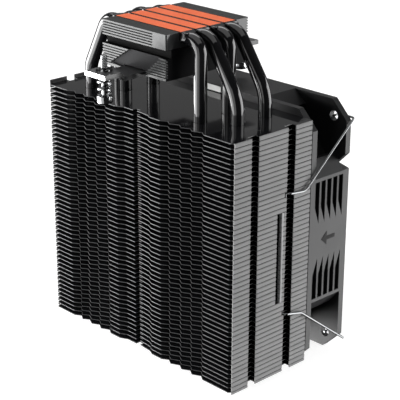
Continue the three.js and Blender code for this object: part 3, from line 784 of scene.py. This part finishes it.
def coil(label, y):
    """The spring between the bar and a screw's head."""
    wire, radius, turns = SPRING["wire"], SPRING["radius"], SPRING["turns"]
    top = BAR_LOW - SPRING["clearance"] - wire
    bottom = SCREW["head_top"] + SPRING["clearance"] + wire
    steps = round(turns * SPRING["steps_a_turn"])
    path = []
    for i in range(steps + 1):
        t = i / steps
        a = 2 * math.pi * turns * t
        ease = t * 0.88 + 0.12 * (3 * t * t - 2 * t ** 3)
        path.append((radius * math.cos(a), y + radius * math.sin(a), bottom + (top - bottom) * ease))
    verts, faces = swept(path, round_section(wire, 10), (0, 0, 1))
    made = piece(f"coil_spring_{label}", verts, faces, [spring_steel], COOLER,
                 [f"screw_spring_{label}"], 60)
    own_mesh(made)


RING = {"outer": 3.5, "inner": 2.45, "lug": 0.6, "half_gap": 26, "low": BAR_TOP + 0.3, "high": BAR_TOP + 1.1,
        "steps": 40}


def retaining_ring(label, y):
    """An open ring with three lugs that snaps under the thread, above the bar."""
    outer, inner = [], []
    gap = math.radians(RING["half_gap"])
    for i in range(RING["steps"] + 1):
        a = -math.pi / 2 + gap + (2 * math.pi - 2 * gap) * i / RING["steps"]
        lug = max(0.0, math.cos(3 * (a - math.pi / 2))) ** 6
        bore = RING["inner"] - RING["lug"] * lug
        outer.append((RING["outer"] * math.cos(a), y + RING["outer"] * math.sin(a)))
        inner.append((bore * math.cos(a), y + bore * math.sin(a)))
    verts, faces, _ = prism([outer + inner[::-1]], RING["low"], RING["high"])
    piece(f"retaining_ring_{label}", verts, faces, [spring_steel], f"retainer_{label}",
          [f"screw_retainer_{label}"], 30)


for side_label, side_y in (("near", -SCREW_Y), ("far", SCREW_Y)):
    spring_screw(side_label, side_y)
    coil(side_label, side_y)
    retaining_ring(side_label, side_y)

# ---------------------------------------------------------------- wire clips
def wire_clip(side, label):
    """One wire from the fan's upper corner hole to the groove, down along it, and back to the lower hole."""
    outside = FAN["near"] + FAN["depth"]
    loop_y = outside + WIRE["r"] + 0.5
    hole_x = side * FAN["hole"]

    def run(end, corner_rise, bend_rise, groove_rise):
        hole = FAN["centre"] + end * FAN["hole"]
        groove = FAN["centre"] + end * groove_rise
        return [(hole_x, outside - WIRE["hook"], hole, 0), (hole_x, loop_y, hole, 1.2),
                (side * WIRE["side_x"], loop_y, hole + end * corner_rise, 1.2),
                (side * WIRE["side_x"], WIRE["bend_y"], FAN["centre"] + end * bend_rise, 4),
                (side * WIRE["side_x"], WIRE["groove_y"], groove, 1),
                (side * WIRE["groove_x"], WIRE["groove_y"], groove, 1)]

    upper = run(1, 0, WIRE["bend_up"], WIRE["up"])
    lower = run(-1, WIRE["low_sag"], WIRE["bend_down"], WIRE["down"])
    corners = upper + lower[::-1]
    verts, faces = swept(rounded_path(corners, 9), round_section(WIRE["r"], 14), (0, 0, 1))
    piece(f"fan_wire_{label}", verts, faces, [wire_steel], f"clip_{label}",
          [f"wire_clip_{label}"], 60)


wire_clip(1, "right")
wire_clip(-1, "left")

# ---------------------------------------------------------------- fan
refined("fan_frame", "fan_moulding", [plastic], COOLER, 0.3)

ARROW = {"y": (31.5, 40.5), "z": -94.2, "half": 3.2, "stem": 0.9, "head": 3.6, "proud": 0.12,
         "root": 0.3}


def airflow_arrow():
    """A plain raised arrow in the middle of each side panel, pointing the way the air goes."""
    tip, tail = ARROW["y"]
    neck = tip + ARROW["head"]
    half, stem = ARROW["half"], ARROW["stem"]
    outline = [(tip, 0), (neck, half), (neck, stem), (tail, stem),
               (tail, -stem), (neck, -stem), (neck, -half)]
    builder = Builder()
    face = STACK["half"]
    for side in (1, -1):
        verts, faces, _ = prism([outline], face - ARROW["root"], face + ARROW["proud"])
        builder.add([(side * x, y, ARROW["z"] + z) for y, z, x in verts], faces)
    builder.make("airflow_arrows", [arrow_mark], COOLER, "fan_plastic", smooth=30)


airflow_arrow()


def fan_point(x, y, z):
    """Fan drawing frame to part frame: the fan's own Z is the part's +Y and its own Y points down."""
    return (x, FAN["near"] + z, FAN["centre"] - y)


ROTOR = {"hub": 20.5, "tip": 56.2, "blades": 9, "open": 5.6, "face": 23.4, "wall": 1.6, "edge": 1.5,
         "edge_steps": 6, "boss_low": 16.2, "bore_r": 1.8, "boss_r": 3.6, "ring_in": 14.8, "ring_out": 15.6,
         "ring_depth": 0.25}
BLADE = {"arc": 31, "sweep_back": 14, "rise": 12.5, "camber": 1.6, "root_thick": 2.2, "thinning": 1.1,
         "sink": 0.6, "lift": 0.4, "tip_from": 0.94}


def blade_points(order, rows=22, columns=14):
    """One blade as a loop of points around its section, repeated from the hub to the tip."""
    arc, sweep_back = math.radians(BLADE["arc"]), math.radians(BLADE["sweep_back"])
    middle = (ROTOR["open"] + ROTOR["face"]) / 2 + BLADE["lift"]
    loop = []
    for i in range(rows + 1):
        loop.append((-0.5 + i / rows, 1))
    for i in range(rows - 1, 0, -1):
        loop.append((-0.5 + i / rows, -1))
    verts = []
    for c in range(columns + 1):
        v = c / columns
        radius = ROTOR["hub"] - BLADE["sink"] + v * (ROTOR["tip"] - ROTOR["hub"] + BLADE["sink"])
        thickness = 0.5 * (BLADE["root_thick"] - BLADE["thinning"] * v)
        tip_taper = 1 - 0.35 * max(0.0, (v - BLADE["tip_from"]) / (1 - BLADE["tip_from"]))
        for u, w in loop:
            u = -u
            angle = 2 * math.pi * order / ROTOR["blades"] + u * arc * (1 + 0.12 * v) - v * v * sweep_back
            thin = max(0.12, (1 - (2 * u) ** 2) ** 0.5) * tip_taper
            camber = BLADE["camber"] * (1 - 4 * u * u)
            height = middle + u * BLADE["rise"] * (1 - 0.25 * v) + camber + w * thickness * thin
            verts.append(fan_point(radius * math.cos(angle), radius * math.sin(angle), height))
    n = len(loop)
    faces = []
    for c in range(columns):
        for i in range(n):
            j = (i + 1) % n
            faces.append((c * n + i, c * n + j, (c + 1) * n + j, (c + 1) * n + i))
    faces += [tuple(range(n)), tuple(range(columns * n + n - 1, columns * n - 1, -1))]
    return verts, faces


def hub_profile():
    """The hub's cup in (radius, z): the shaft's boss inside, a rounded rim and a shallow ring on its face."""
    hub, face, low, edge = ROTOR["hub"], ROTOR["face"], ROTOR["open"], ROTOR["edge"]
    under, inside = face - ROTOR["wall"], hub - ROTOR["wall"]
    profile = [(0, under), (ROTOR["bore_r"], under), (ROTOR["bore_r"], ROTOR["boss_low"]),
               (ROTOR["boss_r"], ROTOR["boss_low"]), (ROTOR["boss_r"], under), (inside, under),
               (inside, low + 0.2), (inside + 0.2, low), (hub - 0.25, low), (hub, low + 0.25),
               (hub, face - edge)]
    for i in range(1, ROTOR["edge_steps"]):
        a = math.pi / 2 * i / ROTOR["edge_steps"]
        profile.append((hub - edge + edge * math.cos(a), face - edge + edge * math.sin(a)))
    sunk = face - ROTOR["ring_depth"]
    return profile + [(hub - edge, face), (ROTOR["ring_out"], face), (ROTOR["ring_out"] - 0.2, sunk),
                      (ROTOR["ring_in"] + 0.2, sunk), (ROTOR["ring_in"], face), (0, face)]


def rotor():
    """The hub and its blades, turned from the fan's drawing frame into the part's."""
    builder = Builder()
    verts, faces = lathe(hub_profile(), 96)
    builder.add([fan_point(*v) for v in verts], faces)
    for order in range(ROTOR["blades"]):
        verts, faces = blade_points(order)
        builder.add(verts, faces)
    builder.make("fan_wheel_moulding", [blade_plastic], "fan_wheel", "blade_plastic", ["fan_rotor"],
                 smooth=40)


rotor()

# The pieces that keep their CAD shape and take only a look.
KEPT = {"rotor_yoke": steel, "rotor_magnet": ferrite, "rotor_shaft": steel, "shaft_clip": cap_plastic,
        "bearing_sleeve": brass, "motor_stator": winding, "motor_board": board, "bearing_cap": cap_plastic,
        "fan_label": label_film}
for node_name, look in KEPT.items():
    node = nodes[node_name]
    for place in range(len(node.material_slots)):
        node.material_slots[place].material = look

# ---------------------------------------------------------------- floor, light and camera
ROOM_LIGHT = 0.025
FLOOR = {"z": -154.3, "flat": 3000, "bend": 2000, "wall": 3000, "steps": 8, "sides": 64}


def stage_floor():
    """A pale floor that curves up into a wall.

    Only the camera sees it, so the dark parts mirror the dim room.
    """
    profile = [(0, FLOOR["z"])]
    for i in range(FLOOR["steps"] + 1):
        a = math.pi / 2 * i / FLOOR["steps"]
        rise = FLOOR["bend"] * (1 - math.cos(a))
        profile.append((FLOOR["flat"] + FLOOR["bend"] * math.sin(a), FLOOR["z"] + rise))
    profile.append((profile[-1][0], profile[-1][1] + FLOOR["wall"]))
    sides = FLOOR["sides"]
    verts = [(0, 0, FLOOR["z"] * MM)]
    for radius, z in profile[1:]:
        verts += [(x * MM, y * MM, z * MM) for x, y in ring(radius, sides)]
    faces = [(0, 1 + j, 1 + (j + 1) % sides) for j in range(sides)]
    for row in range(len(profile) - 2):
        a, b = 1 + row * sides, 1 + (row + 1) * sides
        faces += [(a + j, b + j, b + (j + 1) % sides, a + (j + 1) % sides) for j in range(sides)]
    mesh = bpy.data.meshes.new("floor")
    mesh.from_pydata(verts, [], faces)
    mesh.shade_smooth()
    floor = bpy.data.objects.new("floor", mesh)
    bpy.context.scene.collection.objects.link(floor)
    look = Look("pale_floor", roughness=0.9)
    drift = look.noise(3, 2)
    look.set("Base Color", look.mixed(drift, (0.28, 0.28, 0.28), (0.32, 0.32, 0.32)))
    look.shader.inputs["Specular IOR Level"].default_value = 0.0
    look.shader.inputs["Emission Color"].default_value = (1, 1, 1, 1)
    look.shader.inputs["Emission Strength"].default_value = 0.9
    mesh.materials.append(look.material)
    for rays in ("diffuse", "glossy", "transmission", "shadow"):
        setattr(floor, "visible_" + rays, False)


def soft_box(name, azimuth, half_width, low, high, distance, strength, target=(0, 0, -0.07)):
    """An upright soft box facing the target.

    Azimuth is from -Y towards +X. low and high are elevations, and all the angles are in degrees.
    """
    data = bpy.data.lights.new(name, "AREA")
    data.shape = "RECTANGLE"
    bottom, top = (distance * math.tan(math.radians(e)) for e in (low, high))
    data.size = 2 * distance * math.tan(math.radians(half_width))
    data.size_y = top - bottom
    data.energy = strength * data.size * data.size_y * math.pi
    light = bpy.data.objects.new(name, data)
    bpy.context.scene.collection.objects.link(light)
    a = math.radians(azimuth)
    away = Vector((math.sin(a), -math.cos(a), 0))
    light.location = Vector(target) + away * distance + Vector((0, 0, (top + bottom) / 2))
    light.rotation_mode = "QUATERNION"
    light.rotation_quaternion = away.to_track_quat("Z", "Y")
    light.visible_camera = False


def overhead(name, place, size, strength):
    """A flat soft box that shines straight down."""
    data = bpy.data.lights.new(name, "AREA")
    data.shape = "RECTANGLE"
    data.size, data.size_y = size
    data.energy = strength * size[0] * size[1] * math.pi
    light = bpy.data.objects.new(name, data)
    bpy.context.scene.collection.objects.link(light)
    light.location = place
    light.visible_camera = False


stage_floor()
soft_box("front_left_box", -58, 18, -42, 25, 0.8, 13.0)
soft_box("front_box", -22, 18, -42, 25, 0.8, 5.0)
soft_box("front_right_box", 14, 18, -42, 25, 0.8, 1.2)
soft_box("right_box", 138, 24, -50, 25, 0.8, 4.5)
soft_box("back_left_wall", -134, 36, -40, 36, 1.2, 0.20)
soft_box("back_high_box", -134, 40, 42, 62, 1.0, 2.6)
overhead("top_box", (0, 0, 1.3), (2.0, 2.0), 0.8)
world = bpy.data.worlds.new("studio")
bpy.context.scene.world = world
world.use_nodes = True
background = world.node_tree.nodes["Background"]
background.inputs["Color"].default_value = (1, 1, 1, 1)
background.inputs["Strength"].default_value = ROOM_LIGHT
bpy.context.scene.view_settings.view_transform = "Standard"

CAMERA = {"place": (0.4083, -0.3769, 0.1289), "azimuth": 46.163, "elevation": 20.959, "roll": 0.227,
          "lens": 118.3, "sensor": 36.0, "clip": (0.01, 20.0)}


def add_camera():
    """The camera at CAMERA's place in metres, turned by its azimuth, elevation and roll in degrees."""
    data = bpy.data.cameras.new("camera")
    data.lens = CAMERA["lens"]
    data.sensor_width = CAMERA["sensor"]
    data.clip_start, data.clip_end = CAMERA["clip"]
    camera = bpy.data.objects.new("camera", data)
    bpy.context.scene.collection.objects.link(camera)
    a, e, roll = (math.radians(CAMERA[k]) for k in ("azimuth", "elevation", "roll"))
    back = Vector((math.sin(a) * math.cos(e), -math.cos(a) * math.cos(e), math.sin(e)))
    right = Vector((math.cos(a), math.sin(a), 0))
    up = back.cross(right)
    rolled_right = right * math.cos(roll) + up * math.sin(roll)
    rolled_up = up * math.cos(roll) - right * math.sin(roll)
    turn = Matrix((rolled_right, rolled_up, back)).transposed()
    camera.matrix_world = Matrix.Translation(CAMERA["place"]) @ turn.to_4x4()
    bpy.context.scene.camera = camera


add_camera()
